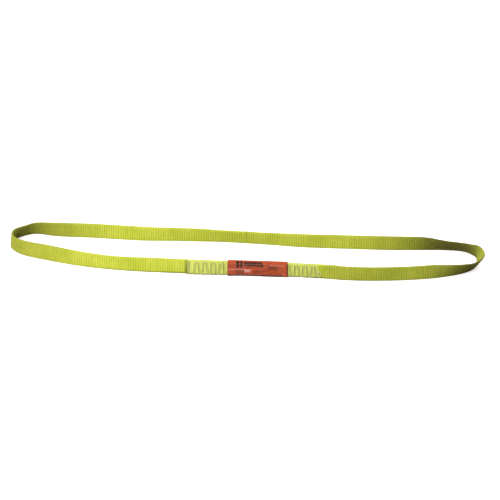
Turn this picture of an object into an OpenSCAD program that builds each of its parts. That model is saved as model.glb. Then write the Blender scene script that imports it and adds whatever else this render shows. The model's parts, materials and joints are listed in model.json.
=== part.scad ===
// Endless flat web sling for lifting: one strip of woven webbing whose two ends are
// overlapped and stitched into a splice, with a vinyl tag folded over the splice.
// It stands on its edge as a long open loop.
// Millimetres, +X along the sling, +Z up. The near run, with the splice and the tag, is
// on the -Y side. The origin is on the floor, under the middle of the loop.
//
// The webbing is made as segments that hinge about upright axes, so that the loop can be
// pulled long or pushed open. The right side is made as a left one and mirrored. Headings
// are measured from the direction that leaves the splice, so they run from 0 on the near
// run, round the bight, to 180 on the far run.

/* [Webbing] */
// Width of the webbing, which is its height as it stands on edge
web_w = 27; // [20:1:50]
// Thickness of one ply of webbing
web_t = 3.2; // [2:0.1:4]

/* [Loop] */
// Length of the far run from its middle to the left bight
left_leg = 378; // [300:1:1200]
// Length of the far run from its middle to the right bight
right_leg = 375; // [300:1:1200]
// Distance between the two runs at the splice, centre to centre
loop_w = 149; // [140:1:160]
// Half the length of the straight, stiff stretch of the near run
stiff_half = 175; // [160:1:180]
// Length of one segment of the left bight, from hinge to hinge
left_bight_l = 20; // [18:0.5:24]
// Length of one segment of the right bight, which is the wider one
right_bight_l = 22; // [18:0.5:24]
// Heading of each bight segment, from the near run round to the far run
bight_headings = [36, 56, 79, 101, 124, 144];

/* [Splice] */
// Cut end of the outer ply
outer_end_x = -86; // [-120:1:-80]
// Cut end of the inner ply
inner_end_x = 171; // [150:1:172]
// Left end of the zigzag stitching
stitch_x0 = -76; // [-80:1:-60]
// Right end of the zigzag stitching
stitch_x1 = 137; // [120:1:140]
// Distance between two rows of stitches that run the same way across the webbing
stitch_pitch = 14.2; // [10:0.1:20]
// Height of the slanting thread, measured upright through it
thread_rise = 3; // [2:0.1:5]
// Height of the sewing thread above the webbing
thread_t = 0.4; // [0.2:0.1:0.6]

/* [Tag] */
// Left edge of the tag
tag_x0 = -16; // [-40:1:0]
// Right edge of the tag
tag_x1 = 86; // [60:1:110]
// Thickness of the vinyl
tag_t = 0.8; // [0.5:0.1:1.2]
// Thickness of the clear film over the tag's face
film_t = 0.2; // [0.1:0.05:0.3]

/* [Hidden] */

$fn = 64;
web_colour = [0.76, 0.80, 0.33];
thread_colour = [0.90, 0.92, 0.72];
tag_colour = [0.76, 0.30, 0.15];
film_colour = [0.95, 0.90, 0.88, 0.4];

// The tag stands off the plies by the thread under it and this much air
tag_gap = 0.05;
// Everything that stands proud of the outer ply towards -Y
tag_stack = thread_t + tag_gap + tag_t + film_t + thread_t;
// Y of the face where the two plies meet, which centres the whole sling on Y = 0
splice_y = -(loop_w - web_t / 2 - tag_stack) / 2;
far_y = splice_y + loop_w;

// Radius of a hinge's rounded end, a little under half the webbing's thickness, and of the
// relief cut round it in the next segment
round_r = web_t / 2 - 0.1;
relief_r = 3;
// The relief where a leg leaves the splice is wider, because its hinge is on the ply's face
splice_relief_r = 4.2;
// Gap between the two halves of the far run
far_gap = 0.5;

// Rows of stitches stay this far inside the webbing's edges
stitch_margin = 2.5;
stitch_z0 = stitch_margin + thread_rise / 2;
stitch_z1 = web_w - stitch_margin - thread_rise / 2;
// Length of the bar tack beside each cut end, and the gap between its rows
tack_l = 5;
tack_pitch = 2.4;
// The tag's own stitches: inset from its edges, length, step from one to the next, height
tag_stitch_inset = 2.4;
tag_stitch_l = 3.2;
tag_stitch_pitch = 4.4;
tag_stitch_h = 0.8;

// Sum of a list
function sum_of(v, i = 0) = i >= len(v) ? 0 : v[i] + sum_of(v, i + 1);

// Y of a bight's first hinge, where the near run ends: its steps along its headings end on
// the far run
function near_end_y(bight_l) = far_y - bight_l * sum_of([for (a = bight_headings) sin(a)]);

// Position of hinge i of a bight on the left, counted from 0 where the near run ends
function hinge(leg, bight_l, i) = i == 0
    ? [-leg, near_end_y(bight_l)]
    : hinge(leg, bight_l, i - 1) + bight_l * [-cos(bight_headings[i - 1]), sin(bight_headings[i - 1])];

// A straight run of webbing along +X from the hinge at the origin: its start is cut
// back round the hinge, and its far end is rounded about the next hinge
module webbing_segment(length) {
    difference() {
        union() {
            translate([0, -web_t / 2, 0])
                cube([length, web_t, web_w]);
            translate([length, 0, 0])
                cylinder(r = round_r, h = web_w);
        }
        relief(relief_r);
    }
}

// The upright cut that gives a hinge its clearance
module relief(r) {
    translate([0, 0, -1])
        cylinder(r = r, h = web_w + 2);
}

// Segment i of a bight, counted from 1 at the near run
module bight_segment(leg, bight_l, i) {
    color(web_colour)
        translate(hinge(leg, bight_l, i - 1))
            rotate([0, 0, 180 - bight_headings[i - 1]])
                webbing_segment(bight_l);
}

// The leg from the stiff stretch to the bight: an arc that starts along -X on its ply's
// centre line and ends at the bight's first hinge. ply is +1 for the inner ply, -1 for the outer.
module near_leg(leg, bight_l, ply) {
    start_y = splice_y + ply * web_t / 2;
    run = leg - stiff_half;
    arc = 2 * atan((near_end_y(bight_l) - start_y) / run);
    arc_r = run / sin(arc);
    color(web_colour)
        difference() {
            union() {
                translate([-stiff_half, start_y + arc_r, 0])
                    rotate([0, 0, -90 - arc])
                        rotate_extrude(angle = arc, $fn = 720)
                            translate([arc_r - web_t / 2, 0])
                                square([web_t, web_w]);
                translate(hinge(leg, bight_l, 0))
                    rotate([0, 0, -arc])
                        cylinder(r = round_r, h = web_w);
            }
            translate([-stiff_half, splice_y, 0])
                relief(splice_relief_r);
        }
}

// Half of the far run, from the bight's last hinge to the middle of the sling
module far_leg(leg, bight_l) {
    color(web_colour)
        translate(hinge(leg, bight_l, len(bight_headings)))
            difference() {
                translate([0, -web_t / 2, 0])
                    cube([leg - far_gap / 2, web_t, web_w]);
                relief(relief_r);
            }
}

// One ply of the stiff stretch: cut square at x_cut, rounded at the hinge on the other end.
// ply is +1 for the inner ply, which leaves to the left, and -1 for the outer ply, to the right.
module stiff_ply(x_cut, ply) {
    x_hinge = -ply * stiff_half;
    color(web_colour)
        translate([0, splice_y + ply * web_t / 2, 0]) {
            translate([min(x_cut, x_hinge), -web_t / 2, 0])
                cube([abs(x_cut - x_hinge), web_t, web_w]);
            translate([x_hinge, 0, 0])
                cylinder(r = round_r, h = web_w);
        }
}

// A flat zigzag thread across the webbing from x0 to x1, lying against the face at y.
// side is -1 on a face that looks towards -Y, and +1 on one that looks towards +Y.
module zigzag_thread(x0, x1, pitch, y, side) {
    steps = floor((x1 - x0) / (pitch / 2));
    line = [for (i = [0:steps]) [x0 + i * pitch / 2, i % 2 == 0 ? stitch_z0 : stitch_z1]];
    half = [0, thread_rise / 2];
    band = concat([for (p = line) p + half], [for (i = [steps:-1:0]) line[i] - half]);
    color(thread_colour)
        translate([0, side < 0 ? y : y + thread_t, 0])
            rotate([90, 0, 0])
                linear_extrude(thread_t)
                    polygon(band);
}

module splice_zigzag(y, side) {
    zigzag_thread(stitch_x0, stitch_x1, stitch_pitch, y, side);
}

// The dense bar tack beside a cut end
module end_tack(x0, y, side) {
    zigzag_thread(x0, x0 + tack_l, tack_pitch, y, side);
}

outer_face_y = splice_y - web_t;
inner_face_y = splice_y + web_t;
tag_inner_off = thread_t + tag_gap;

module tag() {
    flap_h = web_w + tag_gap;
    color(tag_colour)
        translate([tag_x0, 0, 0]) {
            translate([0, outer_face_y - tag_inner_off - tag_t, 0])
                cube([tag_x1 - tag_x0, tag_t, flap_h]);
            translate([0, inner_face_y + tag_inner_off, 0])
                cube([tag_x1 - tag_x0, tag_t, flap_h]);
            translate([0, outer_face_y - tag_inner_off - tag_t, flap_h])
                cube([tag_x1 - tag_x0, 2 * (web_t + tag_inner_off + tag_t), tag_t]);
        }
}

module tag_clear_film() {
    color(film_colour)
        translate([tag_x0, outer_face_y - tag_inner_off - tag_t - film_t, 0])
            cube([tag_x1 - tag_x0, film_t, web_w]);
}

// Separate stitches in a lengthwise row along the tag's lower and upper edges
module tag_thread() {
    y = outer_face_y - tag_inner_off - tag_t - film_t - thread_t;
    row_l = tag_x1 - tag_x0 - 2 * tag_stitch_inset;
    stitches = floor((row_l - tag_stitch_l) / tag_stitch_pitch);
    color(thread_colour)
        for (z = [tag_stitch_inset, web_w - tag_stitch_inset - tag_stitch_h], i = [0:stitches])
            translate([tag_x0 + tag_stitch_inset + i * tag_stitch_pitch, y, z])
                cube([tag_stitch_l, thread_t, tag_stitch_h]);
}

stiff_ply(inner_end_x, 1);  // inner_ply
stiff_ply(outer_end_x, -1);  // outer_ply
splice_zigzag(outer_face_y, -1);  // needle_thread
splice_zigzag(inner_face_y, 1);  // bobbin_thread
end_tack(outer_end_x + 1.5, outer_face_y, -1);  // outer_ply_end_tack
end_tack(inner_end_x - 1.5 - tack_l, inner_face_y, 1);  // inner_ply_end_tack
tag();
tag_clear_film();
tag_thread();
near_leg(left_leg, left_bight_l, 1);  // near_webbing_left
mirror([1, 0, 0]) near_leg(right_leg, right_bight_l, -1);  // near_webbing_right
for (i = [1:len(bight_headings)]) {
    bight_segment(left_leg, left_bight_l, i);
    mirror([1, 0, 0]) bight_segment(right_leg, right_bight_l, i);
}
far_leg(left_leg, left_bight_l);  // far_webbing_left
mirror([1, 0, 0]) far_leg(right_leg, right_bight_l);  // far_webbing_right
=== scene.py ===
"""Looks for an endless flat web sling that stands on its edge as a long open loop.

The webbing is two strips. Strip "right" starts at the outer ply's cut end and runs round
the right bight, strip "left" starts at the inner ply's cut end and runs round the left
bight, and they meet in the middle of the far run. Each strip is cut into eight pieces in
rib grooves, and each piece reaches over one hinge of the frame.
"""
import json
import math

import bpy
import numpy as np
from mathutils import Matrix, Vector


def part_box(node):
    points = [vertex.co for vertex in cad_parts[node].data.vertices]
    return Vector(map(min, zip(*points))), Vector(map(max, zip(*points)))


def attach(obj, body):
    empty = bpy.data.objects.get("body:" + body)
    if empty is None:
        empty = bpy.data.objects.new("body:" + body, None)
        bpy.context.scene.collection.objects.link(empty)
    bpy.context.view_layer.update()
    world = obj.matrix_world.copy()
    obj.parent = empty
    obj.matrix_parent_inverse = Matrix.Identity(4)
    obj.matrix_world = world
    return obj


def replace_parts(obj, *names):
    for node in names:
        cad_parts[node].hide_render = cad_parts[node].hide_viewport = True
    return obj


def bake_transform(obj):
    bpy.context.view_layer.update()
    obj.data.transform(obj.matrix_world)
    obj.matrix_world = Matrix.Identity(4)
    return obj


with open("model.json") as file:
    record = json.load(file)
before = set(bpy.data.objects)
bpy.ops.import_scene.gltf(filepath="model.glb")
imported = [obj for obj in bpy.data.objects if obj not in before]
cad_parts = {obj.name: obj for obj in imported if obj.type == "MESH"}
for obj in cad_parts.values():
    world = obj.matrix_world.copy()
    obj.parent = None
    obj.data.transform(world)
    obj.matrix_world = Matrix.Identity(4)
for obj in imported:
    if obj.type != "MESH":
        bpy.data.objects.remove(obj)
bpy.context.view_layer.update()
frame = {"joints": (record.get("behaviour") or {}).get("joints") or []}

MM = 0.001
Z = np.array([0.0, 0.0, 1.0])

# ---------------------------------------------------------------- camera and lights

ELEVATION = math.radians(22)
YAW = math.radians(6.5)
CAMERA_DISTANCE = 4.16
CAMERA_LENS = 173.2
# What the camera looks at, near the loop's centre
CAMERA_TARGET = Vector((0.0130, 0.0090, 0.0159))
# Each soft light's name, place, size in metres and power in watts
SOFTBOXES = [("key", (-0.80, -1.45, 0.95), 1.1, 40.5),
             ("top", (-0.2, 0.3, 1.9), 1.4, 8),
             ("back", (0.7, 1.6, 0.8), 1.4, 22)]


def aim(obj, target):
    obj.rotation_euler = (Vector(target) - obj.location).to_track_quat("-Z", "Y").to_euler()


def add_camera():
    data = bpy.data.cameras.new("camera")
    data.lens = CAMERA_LENS
    camera = bpy.data.objects.new("camera", data)
    level = math.cos(ELEVATION)
    back = Vector((level * math.sin(YAW), -level * math.cos(YAW), math.sin(ELEVATION)))
    camera.location = CAMERA_TARGET + CAMERA_DISTANCE * back
    aim(camera, CAMERA_TARGET)
    bpy.context.collection.objects.link(camera)
    bpy.context.scene.camera = camera


def add_softbox(name, place, size, power):
    data = bpy.data.lights.new(name, "AREA")
    data.shape = "DISK"
    data.size = size
    data.energy = power
    light = bpy.data.objects.new(name, data)
    light.location = place
    aim(light, (0, 0, 0))
    bpy.context.collection.objects.link(light)


# ---------------------------------------------------------------- shader helpers


def new_material(name):
    """A material, its node tree and its Principled shader."""
    material = bpy.data.materials.new(name)
    material.use_nodes = True
    return material, material.node_tree, material.node_tree.nodes["Principled BSDF"]


def node(tree, kind, inputs=(), **settings):
    """A new node. inputs holds (socket name or number, value or output socket) pairs."""
    made = tree.nodes.new(kind)
    for key, value in settings.items():
        setattr(made, key, value)
    for key, value in inputs:
        if isinstance(value, bpy.types.NodeSocket):
            tree.links.new(value, made.inputs[key])
        else:
            made.inputs[key].default_value = value
    return made


def maths(tree, operation, a, b=0.0):
    return node(tree, "ShaderNodeMath", [(0, a), (1, b)], operation=operation).outputs[0]


def mix_colour(tree, share, a, b):
    inputs = [(0, share), (6, a), (7, b)]
    return node(tree, "ShaderNodeMix", inputs, data_type="RGBA").outputs[2]


def ramp(tree, value, low, high, to_low=0.0, to_high=1.0):
    """to_low where value is low, to_high where it is high, and a smooth step between them."""
    inputs = [(0, value), (1, low), (2, high), (3, to_low), (4, to_high)]
    return node(tree, "ShaderNodeMapRange", inputs, interpolation_type="SMOOTHSTEP").outputs[0]


def noise(tree, vector, scale, detail=2.0):
    inputs = [("Vector", vector), ("Scale", scale), ("Detail", detail)]
    return node(tree, "ShaderNodeTexNoise", inputs).outputs[0]


def scaled(tree, vector, factors):
    """The vector, each of its parts times its own factor."""
    inputs = [(0, vector), (1, factors)]
    return node(tree, "ShaderNodeVectorMath", inputs, operation="MULTIPLY").outputs[0]


def swell(tree, count):
    """0 where count is a whole number and 1 halfway between, like a row of half rounds."""
    return maths(tree, "ABSOLUTE", maths(tree, "SINE", maths(tree, "MULTIPLY", count, math.pi)))


def bump(tree, height, distance, normal=None):
    """A normal tilted by a height from 0 to 1 over a distance, on top of another normal."""
    inputs = [("Height", height), ("Distance", distance), ("Strength", 1.0)]
    if normal is not None:
        inputs.append(("Normal", normal))
    return node(tree, "ShaderNodeBump", inputs).outputs[0]


# ---------------------------------------------------------------- materials

# The webbing's own map counts ribs along the strip and warp yarns round it
WEAVE_MAP = "weave"
# The tag's own map gives the place along it and down its printed face, from 0 to 1
PRINT_MAP = "print"

# The webbing's own attributes say how much painted shade it takes and how puffed up it is, from 0 to 1
SHADE_NAME = "painted_shade"
PUFF_NAME = "puff"

LIME = (0.66, 0.69, 0.075, 1)
LIME_DEEP = (0.52, 0.58, 0.040, 1)
# Painted shade for the grooves between ribs and between yarns
GROOVE_SHADE = (0.20, 0.22, 0.015, 1)
LIME_FLOAT = (0.80, 0.82, 0.30, 1)
MELTED = (0.10, 0.10, 0.02, 1)
# Colour of the painted shade on the webbing
SHADE_COLOUR = (0.105, 0.090, 0.010, 1)
# Paler colour, a painted highlight on cloth that puffs up between stitches
PUFF_HIGHLIGHT = (0.86, 0.88, 0.34, 1)
# How much of the paler painted highlight the cloth takes where it is fully puffed up
PUFF_HIGHLIGHT_SHARE = 0.45
# Size of one rib along the map and of one yarn across it, for noise in millimetres
MAP_MM = (4.2, 0.95, 1.0)


def webbing_material():
    material, tree, shader = new_material("lime_webbing")
    uv = node(tree, "ShaderNodeUVMap", uv_map=WEAVE_MAP).outputs[0]
    split = node(tree, "ShaderNodeSeparateXYZ", [(0, uv)])
    ribs, yarns = split.outputs[0], split.outputs[1]
    flat_mm = scaled(tree, uv, MAP_MM)
    # how much painted shade each point of the webbing takes
    painted_shade = node(tree, "ShaderNodeAttribute", attribute_name=SHADE_NAME).outputs["Fac"]

    # Each rib is a row of warp knuckles: full in the middle, sunk at its grooves
    rib_round = swell(tree, ribs)
    yarn_round = swell(tree, yarns)
    knuckle = maths(tree, "MULTIPLY", maths(tree, "POWER", rib_round, 0.5),
                    maths(tree, "POWER", yarn_round, 0.6))

    # Filaments lie along the strip, so their streaks are long in ribs and fine in yarns
    filament = noise(tree, scaled(tree, uv, (1.4, 9.0, 1.0)), 2.0, 3.0)
    yarn_tone = noise(tree, scaled(tree, uv, (0.7, 1.0, 1.0)), 1.7, 1.0)
    rib_tone = noise(tree, scaled(tree, uv, (1.0, 0.04, 1.0)), 0.9, 1.0)
    patch = noise(tree, flat_mm, 0.024, 3.0)
    # noise that makes the painted shade patchy
    shade_mottle = noise(tree, flat_mm, 0.35, 4.0)

    colour = mix_colour(tree, ramp(tree, patch, 0.35, 0.68), LIME, LIME_DEEP)
    colour = mix_colour(tree, ramp(tree, yarn_tone, 0.45, 0.75, 0.0, 0.35), colour, LIME_DEEP)
    colour = mix_colour(tree, ramp(tree, rib_tone, 0.42, 0.62, 0.0, 0.45), colour, LIME_DEEP)
    colour = mix_colour(tree, ramp(tree, filament, 0.55, 0.8, 0.0, 0.25), colour, LIME_FLOAT)
    # painted shade in the rib grooves and the yarn grooves
    colour = mix_colour(tree, ramp(tree, rib_round, 0.42, 0.02, 0.0, 0.75), colour, GROOVE_SHADE)
    colour = mix_colour(tree, ramp(tree, yarn_round, 0.5, 0.0, 0.0, 0.35), colour, GROOVE_SHADE)
    # painted highlight where the cloth puffs up between the stitches
    puff = node(tree, "ShaderNodeAttribute", attribute_name=PUFF_NAME).outputs["Fac"]
    colour = mix_colour(tree, maths(tree, "MULTIPLY", puff, PUFF_HIGHLIGHT_SHARE), colour, PUFF_HIGHLIGHT)
    # painted shade, laid on where the webbing's attribute asks for it and made patchy by noise
    shade_share = maths(tree, "MULTIPLY", painted_shade, ramp(tree, shade_mottle, 0.25, 0.6, 0.72, 1.0))
    colour = mix_colour(tree, shade_share, colour, SHADE_COLOUR)
    colour = mix_colour(tree, ramp(tree, ribs, 0.42, 0.1, 0.0, 0.9), colour, MELTED)

    normal = bump(tree, filament, 0.08 * MM)
    normal = bump(tree, knuckle, 0.22 * MM, normal=normal)
    tree.links.new(colour, shader.inputs["Base Color"])
    tree.links.new(normal, shader.inputs["Normal"])
    tree.links.new(ramp(tree, ribs, 0.4, 0.0, 0.72, 0.38), shader.inputs["Roughness"])
    shader.inputs["Sheen Weight"].default_value = 0.05
    shader.inputs["Sheen Roughness"].default_value = 0.5
    shader.inputs["Specular IOR Level"].default_value = 0.15
    return material


# Each thread's shaded colour, its bright colour and the painted shade between its plies
GREEN_THREAD = ((0.72, 0.76, 0.30, 1), (0.88, 0.90, 0.52, 1), (0.34, 0.38, 0.12, 1))
CORAL_THREAD = ((0.56, 0.20, 0.10, 1), (0.74, 0.38, 0.25, 1), (0.25, 0.07, 0.03, 1))


def thread_material(name, shaded, bright, between):
    """Twisted polyester thread: its plies wind round the tube, with painted shade between them."""
    material, tree, shader = new_material(name)
    uv = node(tree, "ShaderNodeUVMap", uv_map=WEAVE_MAP).outputs[0]
    split = node(tree, "ShaderNodeSeparateXYZ", [(0, uv)])
    turn = maths(tree, "ADD", maths(tree, "MULTIPLY", split.outputs[0], 3.0), split.outputs[1])
    ply = swell(tree, turn)
    tone = noise(tree, uv, 1.3, 2.0)
    colour = mix_colour(tree, ramp(tree, tone, 0.35, 0.7), shaded, bright)
    # painted shade in the grooves between the plies
    colour = mix_colour(tree, ramp(tree, ply, 0.5, 0.0, 0.0, 0.6), colour, between)
    tree.links.new(colour, shader.inputs["Base Color"])
    tree.links.new(bump(tree, ply, 0.12 * MM), shader.inputs["Normal"])
    shader.inputs["Roughness"].default_value = 0.5
    shader.inputs["Sheen Weight"].default_value = 0.2
    return material


def box_mask(tree, across, down, box, soft):
    """1 inside the box (left, right, top, bottom) of the tag's face, 0 outside, with soft edges."""
    left, right, top, bottom = box
    tall_soft = 3 * soft
    edges = [ramp(tree, across, left - soft, left + soft),
             ramp(tree, across, right + soft, right - soft),
             ramp(tree, down, top - tall_soft, top + tall_soft),
             ramp(tree, down, bottom + tall_soft, bottom - tall_soft)]
    mask = edges[0]
    for edge in edges[1:]:
        mask = maths(tree, "MULTIPLY", mask, edge)
    return mask


# Plain dark bars where a printed tag has its text: left, right, top and bottom as shares
# of the face, and how strongly each is printed
PRINT_BARS = [((0.140, 0.192, -0.1, 0.36), 1.0),
              ((0.208, 0.252, -0.1, 0.36), 1.0),
              ((0.272, 0.58, -0.06, 0.24), 0.9),
              ((0.56, 0.595, 0.06, 0.33), 1.0),
              ((0.12, 0.29, 0.56, 0.66), 0.75),
              ((0.12, 0.27, 0.74, 0.84), 0.75),
              ((0.42, 0.66, 0.56, 0.63), 0.55),
              ((0.42, 0.60, 0.70, 0.76), 0.5),
              ((0.67, 0.83, 0.20, 0.50), 0.42),
              ((0.985, 1.0, 0.0, 1.0), 0.5)]
# Painted highlights on the face, and painted shade along its lower edge
# painted highlights: pale bands where the glossy face takes a reflection
TAG_HIGHLIGHTS = [((0.0, 0.40, 0.47, 0.57), 0.42),
          ((0.28, 0.37, 0.50, 0.72), 0.65),
          ((0.70, 0.96, 0.10, 0.17), 0.35)]
# painted shade along the tag's lower edge
TAG_SHADE_BANDS = [((0.40, 0.92, 0.82, 1.05), 0.6),
               ((-0.1, 0.93, 0.875, 1.1), 0.95)]
ORANGE = (0.46, 0.068, 0.014, 1)
ORANGE_DEEP = (0.34, 0.042, 0.010, 1)
PRINT_INK = (0.018, 0.008, 0.006, 1)
# Colour of the painted highlights
TAG_HIGHLIGHT_COLOUR = (0.80, 0.42, 0.36, 1)
# Colour of the painted shade along the tag's lower edge
TAG_SHADE_COLOUR = (0.07, 0.012, 0.004, 1)
# The tag's length and height, which turn its map into millimetres; the map runs downward
FACE_MM = (102.0, -27.0, 1.0)


def tag_material():
    material, tree, shader = new_material("orange_vinyl")
    uv = node(tree, "ShaderNodeUVMap", uv_map=PRINT_MAP).outputs[0]
    split = node(tree, "ShaderNodeSeparateXYZ", [(0, uv)])
    across, down = split.outputs[0], split.outputs[1]
    face_mm = scaled(tree, uv, FACE_MM)
    mottle = noise(tree, face_mm, 0.08, 3.0)
    colour = mix_colour(tree, ramp(tree, mottle, 0.35, 0.7), ORANGE, ORANGE_DEEP)
    # noise that wears the print and breaks up the painted highlights
    print_wear_and_highlight_mottle = ramp(tree, noise(tree, face_mm, 0.9, 2.0), 0.30, 0.42, 0.45, 1.0)
    for boxes, soft, paint in ((PRINT_BARS, 0.004, PRINT_INK), (TAG_HIGHLIGHTS, 0.014, TAG_HIGHLIGHT_COLOUR)):
        for box, strength in boxes:
            share = maths(tree, "MULTIPLY", box_mask(tree, across, down, box, soft), print_wear_and_highlight_mottle)
            colour = mix_colour(tree, maths(tree, "MULTIPLY", share, strength), colour, paint)
    # painted shade along the tag's lower edge
    for box, strength in TAG_SHADE_BANDS:
        share = maths(tree, "MULTIPLY", box_mask(tree, across, down, box, 0.012), strength)
        colour = mix_colour(tree, share, colour, TAG_SHADE_COLOUR)
    tree.links.new(colour, shader.inputs["Base Color"])
    normal = bump(tree, noise(tree, face_mm, 1.6, 2.0), 0.03 * MM)
    normal = bump(tree, noise(tree, face_mm, 0.12, 2.0), 0.4 * MM, normal=normal)
    tree.links.new(normal, shader.inputs["Normal"])
    shader.inputs["Roughness"].default_value = 0.4
    shader.inputs["Specular IOR Level"].default_value = 0.15
    return material


def film_material():
    material, tree, shader = new_material("clear_film")
    uv = node(tree, "ShaderNodeUVMap", uv_map=PRINT_MAP).outputs[0]
    face_mm = scaled(tree, uv, FACE_MM)
    wrinkle = noise(tree, face_mm, 0.10, 3.0)
    scuff = noise(tree, face_mm, 1.4, 3.0)
    tree.links.new(bump(tree, wrinkle, 0.5 * MM), shader.inputs["Normal"])
    tree.links.new(ramp(tree, scuff, 0.4, 0.7, 0.08, 0.25), shader.inputs["Roughness"])
    tree.links.new(ramp(tree, wrinkle, 0.45, 0.7, 0.02, 0.06), shader.inputs["Alpha"])
    shader.inputs["Base Color"].default_value = (0.75, 0.42, 0.36, 1)
    return material


# ---------------------------------------------------------------- floor and backdrop

FLOOR_SIZE = 30
FLOOR_PAPER = (0.93, 0.93, 0.93, 1)
# What the floor gives off to the camera, and how much of the light it throws back
FLOOR_GLOW = 0.60
FLOOR_BOUNCE = (0.36, 0.36, 0.36, 1)
# The backdrop shows white to the camera, and lights the scene this much
WORLD_LIGHT = 0.38
WHITE = (1, 1, 1, 1)


def floor_material():
    """A white paper floor that throws back less light than it shows, like one lit from below."""
    material, tree, shader = new_material("pale_floor")
    shader.inputs["Base Color"].default_value = FLOOR_PAPER
    shader.inputs["Roughness"].default_value = 0.9
    shader.inputs["Specular IOR Level"].default_value = 0.1
    shader.inputs["Emission Color"].default_value = WHITE
    shader.inputs["Emission Strength"].default_value = FLOOR_GLOW
    dim = node(tree, "ShaderNodeBsdfDiffuse", [("Color", FLOOR_BOUNCE)]).outputs[0]
    seen = node(tree, "ShaderNodeLightPath").outputs["Is Camera Ray"]
    inputs = [(0, seen), (1, dim), (2, shader.outputs[0])]
    mixed = node(tree, "ShaderNodeMixShader", inputs).outputs[0]
    tree.links.new(mixed, tree.nodes["Material Output"].inputs[0])
    return material


def make_world():
    world = bpy.data.worlds.new("studio")
    world.use_nodes = True
    tree = world.node_tree
    light = tree.nodes["Background"]
    light.inputs[0].default_value = WHITE
    light.inputs[1].default_value = WORLD_LIGHT
    backdrop = node(tree, "ShaderNodeBackground", [(0, WHITE), (1, 1.0)]).outputs[0]
    seen = node(tree, "ShaderNodeLightPath").outputs["Is Camera Ray"]
    inputs = [(0, seen), (1, light.outputs[0]), (2, backdrop)]
    mixed = node(tree, "ShaderNodeMixShader", inputs).outputs[0]
    tree.links.new(mixed, tree.nodes["World Output"].inputs[0])
    bpy.context.scene.world = world


# ---------------------------------------------------------------- mesh helpers


def mesh_piece(name, vertices, faces, face_uvs, uv_name, material, flat_faces=()):
    """An object made of quads and triangles, smooth apart from its flat faces."""
    mesh = bpy.data.meshes.new(name)
    mesh.from_pydata([tuple(v) for v in vertices], [], faces)
    layer = mesh.uv_layers.new(name=uv_name)
    layer.data.foreach_set("uv", [float(c) for face in face_uvs for uv in face for c in uv])
    smooth = np.ones(len(faces), bool)
    smooth[list(flat_faces)] = False
    mesh.polygons.foreach_set("use_smooth", smooth)
    mesh.materials.append(material)
    mesh.validate()
    piece = bpy.data.objects.new(name, mesh)
    bpy.context.collection.objects.link(piece)
    return piece


def lengths_along(line):
    """How far along the line each of its points is."""
    return np.concatenate([[0], np.cumsum(np.linalg.norm(np.diff(line, axis=0), axis=1))])


def tube_faces(rings, ring_uv, first=0):
    """Quads between closed rings. ring_uv[i][k] is the map at ring i, point k, with one more
    point than the ring has, for the corner where the map closes."""
    count, size = rings.shape[0], rings.shape[1]
    faces, uvs = [], []
    for i in range(count - 1):
        a, b = first + i * size, first + (i + 1) * size
        for k in range(size):
            n = (k + 1) % size
            faces.append((a + k, b + k, b + n, a + n))
            uvs.append((ring_uv[i][k], ring_uv[i + 1][k], ring_uv[i + 1][k + 1], ring_uv[i][k + 1]))
    return faces, uvs


# ---------------------------------------------------------------- the loop's path

JOINTS = {j["name"]: np.array(j["pos_m"]) for j in frame["joints"]}
BIGHT_LINKS = 6
SPLICE_Y = JOINTS["left_leg_bend"][1]
STIFF_HALF = JOINTS["right_leg_bend"][0]
OUTER_END_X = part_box("outer_ply")[0][0]
INNER_END_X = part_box("inner_ply")[1][0]
WEB_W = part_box("outer_ply")[1][2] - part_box("outer_ply")[0][2]
WEB_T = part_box("far_webbing_left")[1][1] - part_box("far_webbing_left")[0][1]

# The far run waves a little: (x, y) in millimetres, from the bight to the middle
FAR_WAVE = {"right": [(358, 79), (315, 80), (269, 76), (164, 71), (94, 69.5), (58, 71.5), (0, 75)],
            "left": [(-356, 75), (-290, 74), (-230, 72), (-171, 70.5), (-119, 74), (-57, 76), (0, 75)]}
# The strips stop this far short of each other there, in a rib groove. The right one's end is
# drawn in and slides in a socket in the left one, so that no gap shows when they shift.
HALF_GAP = 0.25 * MM
PLUG = [(0.0, 0.50), (0.75 * MM, 0.50)]
SOCKET = [(0.0, 0.92), (-0.95 * MM, 0.92)]
# How far each leg bows into the loop, in millimetres, at four places from splice to bight
LEG_BOW = {"right": [2.4, 1.8, 1.0, 0.4], "left": [0.6, 2.0, 4.0, 4.4]}
# How far the splice bows into the loop: (x, how far) in millimetres
SPLICE_BOW = [(-175, 0), (-100, 0), (-60, 0.8), (-20, 2.8), (20, 5.0), (60, 6.6), (100, 7.0),
              (140, 6.4), (175, 4.0)]
# How far the webbing's top leans out of the loop, in degrees, at x in millimetres
LEAN_NEAR = {"right": [(-86, 3), (-30, 8), (40, 12), (150, 12), (175, 8), (208, 9), (243, 10),
                       (330, 9), (360, 24), (393, 40)],
             "left": [(171, 10), (150, 12), (40, 12), (-30, 8), (-86, 3), (-150, 1), (-182, 4),
                      (-202, 7), (-227, 6), (-257, 2), (-292, -6), (-325, -14), (-350, -12),
                      (-378, -4), (-395, 2)]}
LEAN_TIP = {"right": 36, "left": -8}
LEAN_FAR = {"right": [(406, 10), (398, -22), (380, -37), (356, -36), (338, -29), (321, -17),
                      (303, -10), (251, -5), (164, -7), (94, -10), (58, -16), (23, -20), (0, -18)],
            "left": [(-404, -24), (-395, -27), (-378, -22), (-354, -12), (-332, -5), (-297, 0),
                     (-197, 0), (-171, -5), (-119, -10), (-83, -12), (-49, -19), (-13, -20),
                     (0, -18)]}
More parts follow.
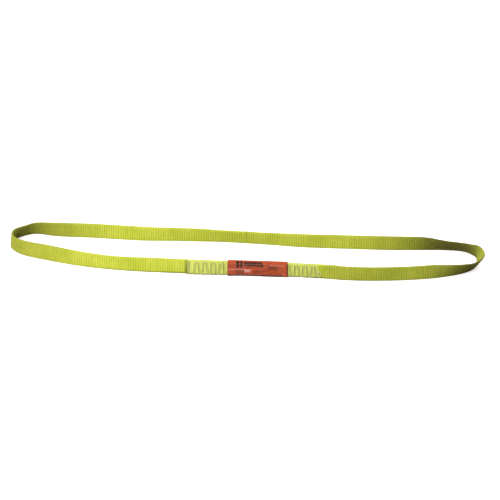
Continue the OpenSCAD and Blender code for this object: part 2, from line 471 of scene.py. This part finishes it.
# How much painted shade the webbing takes, from 0 to 1, at x in millimetres: most near the bights
SHADE_NEAR = {"right": [(-86, 0), (140, 0), (158, 0.28), (250, 0.27), (300, 0.16), (330, 0.30),
                       (375, 0.74), (396, 0.92)],
             "left": [(171, 0), (-230, 0.02), (-290, 0.26), (-330, 0.40), (-378, 0.48)]}
SHADE_TIP = {"right": 0.3, "left": 0.42}
SHADE_FAR = {"right": [(403, 0.8), (385, 1.0), (345, 1.0), (318, 0.9), (290, 0.55), (250, 0.28),
                      (180, 0.06), (0, 0)],
            "left": [(-402, 0.7), (-378, 0.7), (-345, 0.5), (-290, 0.26), (-230, 0.08), (-180, 0),
                     (0, 0)]}
# The lean and the painted shade are smoothed over this length of the strip
TABLE_SMOOTHING = 18 * MM
# Painted contact shadow along the lower edge of the near run's outer face, and how far up it reaches
EDGE_SHADE = [(-330, 0.2), (-200, 0.45), (-90, 0.75), (30, 0.9), (140, 1.0), (150, 0.5),
             (250, 0.45), (330, 0.2)]
EDGE_SHADE_REACH = 2.8 * MM


def spline(points, step):
    """Points about step apart on the natural cubic spline through the given points."""
    knots = lengths_along(points)
    gaps = np.diff(knots)
    last = len(points) - 1
    system = np.eye(last + 1)
    wanted = np.zeros_like(points)
    slopes = np.diff(points, axis=0) / gaps[:, None]
    for i in range(1, last):
        system[i, i - 1:i + 2] = gaps[i - 1], 2 * (gaps[i - 1] + gaps[i]), gaps[i]
        wanted[i] = 6 * (slopes[i] - slopes[i - 1])
    bend = np.linalg.solve(system, wanted)
    t = np.linspace(0, knots[-1], int(knots[-1] / step) + 1)
    i = np.clip(np.searchsorted(knots, t, side="right") - 1, 0, last - 1)
    gap = gaps[i][:, None]
    after = (t - knots[i])[:, None]
    before = gap - after
    cubic = (bend[i] * before ** 3 + bend[i + 1] * after ** 3) / (6 * gap)
    return (cubic + (points[i] / gap - bend[i] * gap / 6) * before
            + (points[i + 1] / gap - bend[i + 1] * gap / 6) * after)


class Strip:
    """One strip's middle line, from its cut end to the middle of the far run."""

    def __init__(self, side):
        self.side = side
        self.way = 1 if side == "right" else -1
        self.ply = -self.way
        links = range(1, BIGHT_LINKS + 1)
        bights = [f"{side}_bight_{i}" for i in links]
        self.bodies = ["splice", f"near_{side}"] + bights + [f"far_{side}"]
        bends = [f"{side}_leg_bend"] + [f"{side}_bight_bend_{i}" for i in links] + [f"{side}_far_bend"]
        hinges = np.array([JOINTS[bend][:2] for bend in bends])
        self.xy = spline(np.array(self.control_points(hinges)), 0.2 * MM)
        self.s = lengths_along(self.xy)
        self.length = self.s[-1]
        self.hinge_s = [self.s[np.argmin(np.linalg.norm(self.xy - h, axis=1))] for h in hinges]
        self.tip = int(np.argmax(self.way * self.xy[:, 0]))
        self.lean = np.radians(self.smooth_table(LEAN_NEAR[side], LEAN_TIP[side], LEAN_FAR[side]))
        # painted shade along the strip, darkest near the bights
        self.painted_shade = self.smooth_table(SHADE_NEAR[side], SHADE_TIP[side], SHADE_FAR[side])

    def control_points(self, hinges):
        """The ply with its bow, the leg's arc, the bight's hinges and the waving far run."""
        ply_y = SPLICE_Y + self.ply * WEB_T / 2
        cut_x = OUTER_END_X if self.side == "right" else INNER_END_X
        stiff_x = self.way * STIFF_HALF
        bow_x, bow = np.array(SPLICE_BOW).T * MM
        points = [(x, ply_y + np.interp(x, bow_x, bow)) for x in np.linspace(cut_x, stiff_x, 12)]
        run = abs(hinges[1][0]) - STIFF_HALF
        arc = 2 * math.atan((hinges[1][1] - ply_y) / run)
        radius = run / math.sin(arc)
        for share, bow in zip((0.2, 0.4, 0.6, 0.8), LEG_BOW[self.side]):
            turned = share * arc
            along, across = radius * math.sin(turned), radius * (1 - math.cos(turned))
            points.append((stiff_x + self.way * along, ply_y + across + bow * MM))
        points += [tuple(h) for h in hinges[1:]]
        points += [(x * MM, y * MM) for x, y in FAR_WAVE[self.side][:-1]]
        return points + [(self.way * HALF_GAP, FAR_WAVE[self.side][-1][1] * MM)]

    def s_at(self, x, far):
        """Distance along the strip to where it passes x on the near or the far run."""
        part = slice(self.tip, None) if far else slice(0, self.tip + 1)
        xs, ss = self.way * self.xy[part, 0], self.s[part]
        if far:
            xs, ss = xs[::-1], ss[::-1]
        return float(np.interp(self.way * x, xs, ss))

    def smooth_table(self, near, tip, far):
        """A value all along the strip, from (x, value) on its two runs and the value at its tip."""
        keys = [(self.s_at(x * MM, False), value) for x, value in near]
        keys.append((self.s[self.tip], tip))
        keys += [(self.s_at(x * MM, True), value) for x, value in far]
        values = np.interp(self.s, *np.array(keys).T)
        half = int(TABLE_SMOOTHING / 2 / (self.length / len(self.s)))
        window = np.hanning(2 * half + 1)
        return np.convolve(np.pad(values, half, mode="edge"), window / window.sum(), mode="valid")

    def frames(self, s):
        """Middle point at floor level, outward face normal, upward direction and lean, at each s."""
        s = np.atleast_1d(s)
        xy = np.stack([np.interp(s, self.s, self.xy[:, i]) for i in (0, 1)], 1)
        ahead, behind = s + 1 * MM, s - 1 * MM
        steps = [np.interp(np.minimum(ahead, self.length), self.s, self.xy[:, i])
                 - np.interp(np.maximum(behind, 0), self.s, self.xy[:, i]) for i in (0, 1)]
        tangent = np.stack(steps, 1)
        tangent /= np.linalg.norm(tangent, axis=1)[:, None]
        out = self.way * np.stack([tangent[:, 1], -tangent[:, 0], 0 * s], 1)
        lean = np.interp(s, self.s, self.lean)[:, None]
        up = np.cos(lean) * Z + np.sin(lean) * out
        face = np.cos(lean) * out - np.sin(lean) * Z
        middle = np.stack([xy[:, 0], xy[:, 1], 0 * s], 1)
        return middle, face, up, lean[:, 0]

    def near_frames(self, x):
        """The same at each x on the near run."""
        return self.frames([self.s_at(place, False) for place in x])


# ---------------------------------------------------------------- the webbing

RIB_PITCH = 4.2 * MM
RIB_HEIGHT = 0.36 * MM
# Rings of vertices within a rib, close together at its grooves
RIB_RINGS = [0.0, 0.09, 0.26, 0.5, 0.74, 0.91]
YARN_WIDTH = 0.95 * MM
# The webbing's bound edges are round beads, each beside a groove this far in
EDGE_BEAD_R = 1.3 * MM
EDGE_GROOVE = 1.9 * MM
BEAD_ANGLES = (105, 90, 60, 33, 12)
# The heat-sealed cut ends are pinched: (distance from the end, share of the thickness)
CUT_END_PINCH = [(0, 0.62), (0.5 * MM, 0.88), (1.5 * MM, 1.0)]
# A section is far taller than thick, so its height is drawn in by this share of the scaling
TALL_SHARE = 0.1
# Larger than any reach of a stitch, for cloth that has no stitches near it
FAR_AWAY = 1.0


def half_section(faces_across):
    """Across the webbing from its top edge to its bottom edge: height, half thickness there,
    and how much of the rib's relief shows there."""
    half_w = WEB_W / 2
    flat = half_w - EDGE_GROOVE
    bead_middle = half_w - EDGE_BEAD_R
    rows = []
    for share in np.linspace(1, -1, faces_across + 1):
        rows.append((share * (flat - 0.6 * MM), WEB_T / 2 - RIB_HEIGHT, 1.0))
    edge = [(flat - 0.2 * MM, WEB_T / 2 - 0.45 * MM, 0.7), (flat + 0.15 * MM, 1.0 * MM, 0.1)]
    for angle in BEAD_ANGLES:
        a = math.radians(angle)
        edge.append((bead_middle + EDGE_BEAD_R * math.cos(a) * 0.98, EDGE_BEAD_R * math.sin(a), 0.25))
    top = [(half_w, 0.0, 0.0)] + edge[::-1]
    bottom = [(-v, h, r) for v, h, r in edge] + [(-half_w, 0.0, 0.0)]
    return np.array(top + rows + bottom)


def full_section(faces_across):
    """The closed section: (height, thickness side, relief, which face), outer face first."""
    half = half_section(faces_across)
    outer = [(v, h, r, 1) for v, h, r in half]
    inner = [(v, -h, r, -1) for v, h, r in half[-2:0:-1]]
    return np.array(outer + inner)


def rib_swell(s, pitch):
    """How full the ribs are at s, from 0.1 in the grooves to 1 between them."""
    place = (s / pitch) % 1.0
    return np.sqrt(np.maximum(0, 1 - 0.99 * (2 * place - 1) ** 2))


# The stitching's paths across the splice are (x, height above the middle) in metres
STITCH_TOP = WEB_W / 2 - 2.4 * MM
STITCH_PITCH = 14.2 * MM
TACK_PITCH = 2.4 * MM
# Close to 0 this gives a sine wave, and higher values straighter legs and tighter turns
STITCH_SQUARE = 2.4


def serpentine(x0, x1, pitch, top, step=0.25 * MM):
    """Evenly spaced points of a zigzag with round turns, from x0 to x1 along the splice."""
    x = np.arange(x0, x1, step / 4)
    wave = np.sin(2 * math.pi * (x - x0) / pitch - math.pi / 2)
    line = np.stack([x, top * np.tanh(STITCH_SQUARE * wave) / math.tanh(STITCH_SQUARE)], 1)
    length = lengths_along(line)
    even = np.arange(0, length[-1], step)
    return np.stack([np.interp(even, length, line[:, i]) for i in (0, 1)], 1)


def line_over(thread, inset, pitch):
    """The stitch line over a thread's box in the frame, drawn in at both ends."""
    low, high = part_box(thread)
    return serpentine(low[0] + inset, high[0] - inset, pitch, STITCH_TOP)


SPLICE_LINE = line_over("needle_thread", 0.8 * MM, STITCH_PITCH)
OUTER_TACK_LINE = line_over("outer_ply_end_tack", 0.4 * MM, TACK_PITCH)
INNER_TACK_LINE = line_over("inner_ply_end_tack", 0.4 * MM, TACK_PITCH)
# Thread pulls the cloth in beneath it, and the cloth puffs up a little way off
THREAD_DIP = 0.75 * MM
DIP_WIDTH = 1.3 * MM
PUFF = 0.40 * MM
PUFF_REACH = 3.2 * MM
STITCH_REACH = 8 * MM
# Painted shade lies beside the stitches' legs, and painted shadow in the step at the outer ply's cut
# end
STITCH_SHADE = 0.60
STEP_SHADE_MIDDLE = 1.6 * MM
STEP_SHADE_WIDTH = 1.5 * MM


def stitch_distance(x, v, lines):
    """How far each spot of the face is from the nearest stitch line, up to STITCH_REACH."""
    nearest = np.full(len(x), STITCH_REACH)
    for line in lines:
        near = (x > line[0, 0] - STITCH_REACH) & (x < line[-1, 0] + STITCH_REACH)
        if not near.any():
            continue
        spots = np.stack([x[near], v[near]], 1)
        distance = np.full(len(spots), FAR_AWAY)
        # a part of the line at a time, which keeps the table of distances small
        for first in range(0, len(line), 200):
            part = line[first:first + 200]
            reach = np.linalg.norm(spots[:, None] - part[None], axis=2).min(1)
            distance = np.minimum(distance, reach)
        nearest[near] = np.minimum(nearest[near], distance)
    return nearest


def painted_shade_at(strip, s, middle, v, which, beside):
    """How much painted shade the webbing takes at each ring and point of its section."""
    # painted shade from the strip's own table
    painted_shade = np.repeat(np.interp(s, strip.s, strip.painted_shade)[:, None], len(v), 1)
    # painted contact shadow along the near run's lower edge, on its outer face
    xs, amounts = np.array(EDGE_SHADE).T
    near_run = middle[:, 1] < 0
    along = np.interp(middle[:, 0], xs * MM, amounts, left=0, right=0) * near_run
    low = np.clip(1 - (v + WEB_W / 2 - EDGE_SHADE_REACH / 2) / EDGE_SHADE_REACH, 0, 1) * (which > 0)
    painted_shade = np.maximum(painted_shade, along[:, None] * low[None, :])
    # painted shade, full beside the stitches' upright legs, less beside their turns at the webbing's
    # edges
    legs = np.clip(1.25 - np.abs(v) / STITCH_TOP, 0.15, 0.5) * 2
    painted_shade = np.maximum(painted_shade, STITCH_SHADE * legs[None, :] * np.exp(-(beside / DIP_WIDTH) ** 2))
    if strip.side == "left":
        # painted shadow on the inner ply in the step at the outer ply's cut end
        from_middle = middle[:, 0] - OUTER_END_X + STEP_SHADE_MIDDLE
        step = np.exp(-(from_middle / STEP_SHADE_WIDTH) ** 2) * near_run
        lower = np.clip(0.75 - v / WEB_W, 0, 1) * (which > 0)
        painted_shade = np.maximum(painted_shade, step[:, None] * lower[None, :])
    return painted_shade


def close_ends(faces, uvs, ring_uv, size):
    """Adds the faces that close the first and the last ring, from outer to inner face."""
    for ring in (0, len(ring_uv) - 1):
        for k in range(size // 2):
            corners = list(dict.fromkeys([k, k + 1, size - k - 1, (size - k) % size]))
            if ring > 0:
                corners = corners[::-1]
            faces.append(tuple(ring * size + c for c in corners))
            uvs.append([ring_uv[ring][c] for c in corners])


def webbing_piece(name, strip, pitch, ribs, faces_across, stitched, end_rings, material):
    """The strip from one rib groove to another, as one closed mesh. stitched is the face that
    carries stitching (1 outer, -1 inner, 0 none) and its lines. end_rings are the last ring's
    copies that shape the far end: how far each is shifted along the strip, and its scale."""
    first_rib, last_rib = ribs
    stitched_face, lines = stitched
    section = full_section(faces_across)
    size = len(section)
    places = [(rib + part) * pitch for rib in range(first_rib, last_rib) for part in RIB_RINGS]
    places += [last_rib * pitch] * (1 + len(end_rings))
    s = np.array(places)
    middle, face, up, lean = strip.frames(s)
    v, h, relief, which = section.T

    thickness = h + which * relief * RIB_HEIGHT * rib_swell(s, pitch)[:, None]
    beside = np.full((len(s), size), FAR_AWAY)
    puff = np.zeros((len(s), size))
    if stitched_face:
        x = np.repeat(middle[:, :1], size, 1)
        height = np.repeat(v[None, :], len(s), 0)
        beside = stitch_distance(x.ravel(), height.ravel(), lines).reshape(x.shape)
        on_face = which[None, :] == stitched_face
        puff = np.where(on_face, np.exp(-((beside - PUFF_REACH) / DIP_WIDTH) ** 2), 0)
        dip = np.where(on_face, np.exp(-(beside / DIP_WIDTH) ** 2), 0)
        thickness += which * relief * (PUFF * puff - THREAD_DIP * dip)
        beside = np.where(on_face, beside, FAR_AWAY)
    if first_rib == 0:
        thickness *= np.interp(s, *np.array(CUT_END_PINCH).T)[:, None]

    # the strip stands on its lower edge, however far it leans
    lowest = (h[None, :] * np.sin(lean)[:, None] - v[None, :] * np.cos(lean)[:, None]).max(1)
    rings = (middle[:, None] + thickness[..., None] * face[:, None]
             + v[None, :, None] * up[:, None] + lowest[:, None, None] * Z)
    centre = middle[-1] + lowest[-1] * Z
    ahead = strip.way * np.cross(up[-1], face[-1])
    for i, (shift, scale) in enumerate(end_rings, len(s) - len(end_rings)):
        tall = ((rings[i] - centre) @ up[-1])[:, None] * up[-1]
        thick = rings[i] - centre - tall
        rings[i] = centre + shift * ahead + scale * thick + (1 - TALL_SHARE * (1 - scale)) * tall
        s[i] += shift

    outline = np.stack([v, h], 1)
    around = lengths_along(outline)
    around = np.append(around, around[-1] + np.linalg.norm(outline[0] - outline[-1]))
    ring_uv = [[(place / pitch, a / YARN_WIDTH) for a in around] for place in s]
    faces, uvs = tube_faces(rings, ring_uv)
    sides = len(faces)
    close_ends(faces, uvs, ring_uv, size)
    if strip.way > 0:
        faces = [f[::-1] for f in faces]
        uvs = [u[::-1] for u in uvs]
    ends = range(sides, len(faces))
    piece = mesh_piece(name, rings.reshape(-1, 3), faces, uvs, WEAVE_MAP, material, ends)
    # the painted shade and the puff, kept on the mesh for its material
    painted_shade = painted_shade_at(strip, s, middle, v, which, beside)
    for attribute, values in ((SHADE_NAME, painted_shade), (PUFF_NAME, puff)):
        layer = piece.data.attributes.new(attribute, "FLOAT", "POINT")
        layer.data.foreach_set("value", values.ravel())
    return piece


# How far a piece's bend reaches before and after its hinge
LEG_BEND_ZONE = (-4 * MM, 28 * MM)
BIGHT_BEND_ZONE = (-9.5 * MM, 9.5 * MM)
FAR_BEND_ZONE = (-9.5 * MM, 20 * MM)
# Faces across the webbing's width, more of them where stitches dip into it
SPLICE_FACES = 20
PLAIN_FACES = 10


def make_strip(side, material):
    """The strip's eight pieces, each from one seam to the next and reaching over one hinge."""
    strip = Strip(side)
    ribs = round(strip.length / RIB_PITCH)
    pitch = strip.length / ribs
    hinge_pairs = zip(strip.hinge_s[:-1], strip.hinge_s[1:])
    seams = [0] + [round((a + b) / 2 / pitch) for a, b in hinge_pairs] + [ribs]
    outer = side == "right"
    lines = [SPLICE_LINE, OUTER_TACK_LINE if outer else INNER_TACK_LINE]
    replaced = [["outer_ply" if outer else "inner_ply"], [f"near_webbing_{side}"]]
    replaced += [[f"{side}_bight_webbing_{i}"] for i in range(1, BIGHT_LINKS + 1)]
    replaced[-1].append(f"far_webbing_{side}")
    names = [("outer" if outer else "inner") + "_ply_and_leg", f"{side}_leg_end"]
    names += [f"{side}_bight_cloth_{i}" for i in range(1, BIGHT_LINKS)] + [f"{side}_far_run"]
    for i, name in enumerate(names):
        stitched = (1 if outer else -1, lines) if i == 0 else (0, [])
        last = i == len(names) - 1
        faces_across, zone, end_rings = PLAIN_FACES, BIGHT_BEND_ZONE, []
        if i == 0:
            faces_across, zone = SPLICE_FACES, LEG_BEND_ZONE
        if last:
            zone, end_rings = FAR_BEND_ZONE, PLUG if outer else SOCKET
        piece = webbing_piece(name, strip, pitch, seams[i:i + 2], faces_across,
                              stitched, end_rings, material)
        middles = [strip.frames(strip.hinge_s[i] + reach)[0][0] for reach in zone]
        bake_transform(piece)
        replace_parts(piece, *replaced[i])
    return strip


# ---------------------------------------------------------------- threads

THREAD_R = 0.52 * MM
# Each stitch's length, its thread's radius, and how far it goes down at its holes
SPLICE_STITCH = (4.1 * MM, THREAD_R, 0.7 * MM)
TACK_STITCH = (3.2 * MM, 0.36 * MM, 0.6 * MM)
LEG_SINK = 0.4 * MM
THREAD_SIDES = 8
STITCH_RINGS = 9
# The needle thread's loose tail: how far past the last stitch it starts and how high above
# the middle, and how far its loop reaches across and up
TAIL_START = (0.8 * MM, -4.5 * MM)
TAIL_SIZE = (5.6 * MM, 10.5 * MM)


def tube(path, normals, radii, length, first):
    """Vertices, faces and map of a round tube along the path, with closed ends."""
    tangents = np.gradient(path, axis=0)
    tangents /= np.linalg.norm(tangents, axis=1)[:, None]
    sideways = np.cross(tangents, normals)
    sideways /= np.linalg.norm(sideways, axis=1)[:, None]
    lifted = np.cross(sideways, tangents)
    angles = np.arange(THREAD_SIDES) * 2 * math.pi / THREAD_SIDES
    ring = (np.cos(angles)[None, :, None] * sideways[:, None]
            + np.sin(angles)[None, :, None] * lifted[:, None])
    rings = path[:, None] + radii[:, None, None] * ring
    along = np.linspace(0, length / (2 * THREAD_R), len(path))
    ring_uv = [[(a, k / THREAD_SIDES * 3) for k in range(THREAD_SIDES + 1)] for a in along]
    faces, uvs = tube_faces(rings, ring_uv, first)
    for end in (0, len(path) - 1):
        corners = list(range(THREAD_SIDES))
        if end == 0:
            corners = corners[::-1]
        faces.append(tuple(first + end * THREAD_SIDES + c for c in corners))
        uvs.append([ring_uv[end][c] for c in corners])
    return rings.reshape(-1, 3), [f[::-1] for f in faces], [u[::-1] for u in uvs]


def thread_piece(name, stitches, material):
    """One object from many stitches, each a path, its normals, radii and length."""
    vertices, faces, uvs = [], [], []
    for path, normals, radii, length in stitches:
        more = tube(path, normals, radii, length, len(vertices))
        vertices += [tuple(p) for p in more[0]]
        faces += more[1]
        uvs += more[2]
    piece = mesh_piece(name, vertices, faces, uvs, WEAVE_MAP, material)
    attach(piece, "splice")
    return piece


def stitch_arc(count):
    """Share along a stitch, and how high it stands: flat in the middle, down at its holes."""
    share = np.linspace(0, 1, count)
    return share, 1 - (2 * share - 1) ** 6


def stitches_on_face(strip, line, side, stitch):
    """Stitches that follow a line over one face of the splice; side is 1 outside, -1 inside."""
    length, radius, sink = stitch
    step = np.linalg.norm(np.diff(line, axis=0), axis=1).mean()
    per = int(round(length / step))
    made = []
    for first in range(0, len(line) - per // 2, per):
        last = min(first + per, len(line) - 1)
        share, high = stitch_arc(STITCH_RINGS)
        at = first + share * (last - first)
        index = np.arange(len(line))
        x, v = np.interp(at, index, line[:, 0]), np.interp(at, index, line[:, 1])
        middle, face, up, lean = strip.near_frames(x)
        lowest = WEB_W / 2 * np.cos(lean)
        # the legs are drawn into the cloth, and the turns near the edges stand clear of it
        turn = np.clip((np.abs(v) / STITCH_TOP - 0.6) / 0.3, 0, 1)
        off = WEB_T / 2 - sink * (1 - high) - LEG_SINK * (1 - turn)
        path = middle + side * off[:, None] * face + v[:, None] * up + lowest[:, None] * Z
        radii = radius * (0.72 + 0.28 * high) * (0.8 + 0.2 * turn)
        made.append((path, side * face, radii, (last - first) * step))
    return made


def thread_tail(strip):
    """The needle thread's loose tail: one loop that lies on the face past its last stitch."""
    across, tall = TAIL_SIZE
    turn = np.linspace(-0.5 * math.pi, 1.9 * math.pi, 40)
    x = SPLICE_LINE[-1, 0] + TAIL_START[0] + across * (1 - np.cos(turn)) / 2
    v = TAIL_START[1] + tall * np.sin(turn) / 2
    middle, face, up, lean = strip.near_frames(x)
    lifted = WEB_T / 2 + THREAD_R + 0.25 * MM * (1 + np.sin(2 * turn))
    lowest = WEB_W / 2 * np.cos(lean)
    path = middle + lifted[:, None] * face + v[:, None] * up + lowest[:, None] * Z
    return path, face, np.full(len(x), THREAD_R), math.pi * (across + tall) / 2


# ---------------------------------------------------------------- the tag

TAG_X0, TAG_X1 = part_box("tag")[0][0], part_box("tag")[1][0]
TAG_T = 0.8 * MM
# The clear film lies from just above the tag's face to this height over it
FILM_GAP = 0.02 * MM
FILM_T = 0.2 * MM
# How far the tag's inner face is from where the plies meet, and its heights above the floor
TAG_OFF = WEB_T + 0.45 * MM
TAG_BOTTOM = 1.2 * MM
TAG_TOP = WEB_W + 0.2 * MM
TAG_CORNER_R = 1.6 * MM
# Rows of vertices up the printed flap, and columns along the tag
FLAP_ROWS = 24
TAG_COLUMNS = 80
# The tag's stitches: how far their rows are from its lower edge, its fold and its ends, how
# long and far apart they are, how far each reaches on into its hole, and how they lie
TAG_LOWER_INSET = 3.4 * MM
TAG_UPPER_INSET = 1.9 * MM
TAG_END_INSET = 2.4 * MM
TAG_STITCH = 3.2 * MM
TAG_STITCH_PITCH = 4.4 * MM
TAG_STITCH_REACH = 0.5 * MM
TAG_STITCH_SINK = 0.3 * MM
TAG_STITCH_RISE = 0.4 * MM
TAG_THREAD_R = 0.2 * MM


def tag_profile():
    """The folded sheet's inner face from the outer flap's bottom edge, over the top, to the
    inner flap's bottom edge: (out of the loop, up)."""
    corner = TAG_CORNER_R
    rows = [(TAG_OFF, z) for z in np.linspace(TAG_BOTTOM, TAG_TOP - corner, FLAP_ROWS)]
    rows += [(TAG_OFF - corner + corner * math.cos(a), TAG_TOP - corner + corner * math.sin(a))
             for a in np.radians([18, 36, 54, 72, 90])]
    rows += [(TAG_OFF - corner - 1.1 * MM, TAG_TOP + 0.08 * MM), (0, TAG_TOP + 0.12 * MM)]
    inner = [(-out, z) for out, z in rows[:-1][::-1]]
    return np.array(rows + inner)


def tag_wave(x, z):
    """How far the tag stands away from the webbing: soft waves, ends and a lower edge that
    lift, and the splice's stitches showing through. Each is in millimetres."""
    along = (x - TAG_X0) / (TAG_X1 - TAG_X0)
    drop = 1 - z / WEB_W
    wave = 0.22 * np.sin(9.3 * along + 2.1 * drop) + 0.12 * np.sin(21 * along - 3 * drop + 1)
    ends = 0.55 * np.exp(-(along / 0.05) ** 2) + 0.45 * np.exp(-((1 - along) / 0.05) ** 2)
    lower = 0.75 * np.clip(drop, 0, 1) ** 5 * (1 + 0.4 * np.sin(7 * along + 2))
    rows = 0.05 * np.sin(2 * math.pi * x / (STITCH_PITCH / 2))
    wave = wave * np.clip(drop * 3, 0.15, 1)
    ends = ends * np.clip(drop * 2, 0.1, 1)
    return MM * (0.25 + wave + ends + lower + rows)


def on_splice(strip, x, out, z):
    """Points out from the face where the plies meet and up from the floor, at x on the splice."""
    middle, face, up, lean = strip.near_frames(x)
    middle[:, 1] -= strip.ply * WEB_T / 2
    lowest = WEB_W / 2 * np.cos(lean)
    return middle + out[:, None] * face + (z - WEB_W / 2)[:, None] * up + lowest[:, None] * Z


def sheet_grid(strip, profile, columns):
    """Points of the tag's inner face on a grid: columns along it, rows down its profile."""
    x = np.linspace(TAG_X0, TAG_X1, columns)
    grid = np.zeros((columns, len(profile), 3))
    for j, (out, z) in enumerate(profile):
        away = tag_wave(x, np.full(columns, z)) * np.sign(out)
        share = min(1, abs(out) / (TAG_OFF - 0.5 * MM))
        grid[:, j] = on_splice(strip, x, out + away * share ** 2, np.full(columns, z))
    return grid


def grid_normals(grid):
    normal = np.cross(np.gradient(grid, axis=0), np.gradient(grid, axis=1))
    return normal / np.linalg.norm(normal, axis=2)[..., None]


def slab(name, grid, inner, outer, face_uv, material):
    """A closed sheet between two offsets from a grid along its normals."""
    columns, rows = grid.shape[:2]
    normal = grid_normals(grid)
    layers = [(grid + offset * normal).reshape(-1, 3) for offset in (outer, inner)]
    below = columns * rows
    faces, uvs = [], []

    def corner(i, j, layer):
        return layer * below + i * rows + j

    for i in range(columns - 1):
        for j in range(rows - 1):
            cells = [(i, j), (i + 1, j), (i + 1, j + 1), (i, j + 1)]
            faces.append(tuple(corner(a, b, 0) for a, b in cells))
            uvs.append([face_uv[a][b] for a, b in cells])
            faces.append(tuple(corner(a, b, 1) for a, b in cells[::-1]))
            uvs.append([face_uv[a][b] for a, b in cells[::-1]])
    sides = len(faces)
    border = ([(i, 0) for i in range(columns)]
              + [(columns - 1, j) for j in range(1, rows)]
              + [(i, rows - 1) for i in range(columns - 2, -1, -1)]
              + [(0, j) for j in range(rows - 2, 0, -1)])
    for (a, b), (c, d) in zip(border, border[1:] + border[:1]):
        faces.append((corner(c, d, 0), corner(a, b, 0), corner(a, b, 1), corner(c, d, 1)))
        uvs.append([face_uv[c][d], face_uv[a][b], face_uv[a][b], face_uv[c][d]])
    vertices = np.concatenate(layers)
    return mesh_piece(name, vertices, faces, uvs, PRINT_MAP, material, range(sides, len(faces)))


def make_tag(strip, tag_look, film_look):
    profile = tag_profile()
    grid = sheet_grid(strip, profile, TAG_COLUMNS)
    down = lengths_along(profile)
    flap = TAG_TOP - TAG_BOTTOM
    face_uv = [[(i / (TAG_COLUMNS - 1), 1 - d / flap) for d in down] for i in range(TAG_COLUMNS)]
    tag = slab("vinyl_tag", grid, 0, TAG_T, face_uv, tag_look)
    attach(tag, "splice")
    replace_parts(tag, "tag")

    film_grid = (grid + TAG_T * grid_normals(grid))[:, :FLAP_ROWS]
    film_uv = [column[:FLAP_ROWS] for column in face_uv]
    film = slab("film_over_print", film_grid, FILM_GAP, FILM_T, film_uv, film_look)
    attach(film, "splice")
    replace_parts(film, "tag_clear_film")


def tag_stitches(strip):
    """The tag's own stitches, in a row near its lower edge and one near its fold."""
    made = []
    first, last = TAG_X0 + TAG_END_INSET, TAG_X1 - TAG_END_INSET - TAG_STITCH
    for z in (TAG_BOTTOM + TAG_LOWER_INSET, TAG_TOP - TAG_UPPER_INSET):
        for x in np.arange(first, last, TAG_STITCH_PITCH):
            share, high = stitch_arc(STITCH_RINGS)
            xs = x + share * (TAG_STITCH + TAG_STITCH_REACH)
            zs = np.full(len(xs), z)
            surface = TAG_OFF + tag_wave(xs, zs) + TAG_T + FILM_T
            path = on_splice(strip, xs, surface - TAG_STITCH_SINK + TAG_STITCH_RISE * high, zs)
            face = strip.near_frames(xs)[1]
            made.append((path, face, TAG_THREAD_R * (0.7 + 0.3 * high), TAG_STITCH))
    return made


# ---------------------------------------------------------------- the scene

add_camera()
webbing_look = webbing_material()
thread_look = thread_material("pale_green_thread", *GREEN_THREAD)
right = make_strip("right", webbing_look)
left = make_strip("left", webbing_look)

needle = stitches_on_face(right, SPLICE_LINE, 1, SPLICE_STITCH) + [thread_tail(right)]
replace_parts(thread_piece("needle_stitches", needle, thread_look), "needle_thread")
bobbin = stitches_on_face(left, SPLICE_LINE, -1, SPLICE_STITCH)
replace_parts(thread_piece("bobbin_stitches", bobbin, thread_look), "bobbin_thread")
outer_tack = stitches_on_face(right, OUTER_TACK_LINE, 1, TACK_STITCH)
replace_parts(thread_piece("outer_tack_stitches", outer_tack, thread_look), "outer_ply_end_tack")
inner_tack = stitches_on_face(left, INNER_TACK_LINE, -1, TACK_STITCH)
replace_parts(thread_piece("inner_tack_stitches", inner_tack, thread_look), "inner_ply_end_tack")
make_tag(right, tag_material(), film_material())
coral_look = thread_material("coral_thread", *CORAL_THREAD)
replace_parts(thread_piece("tag_stitches", tag_stitches(right), coral_look), "tag_thread")

bpy.ops.mesh.primitive_plane_add(size=FLOOR_SIZE)
floor = bpy.context.object
floor.name = "floor"
floor.data.materials.append(floor_material())
for name, place, size, power in SOFTBOXES:
    add_softbox(name, place, size, power)
make_world()
bpy.context.scene.view_settings.view_transform = "Standard"
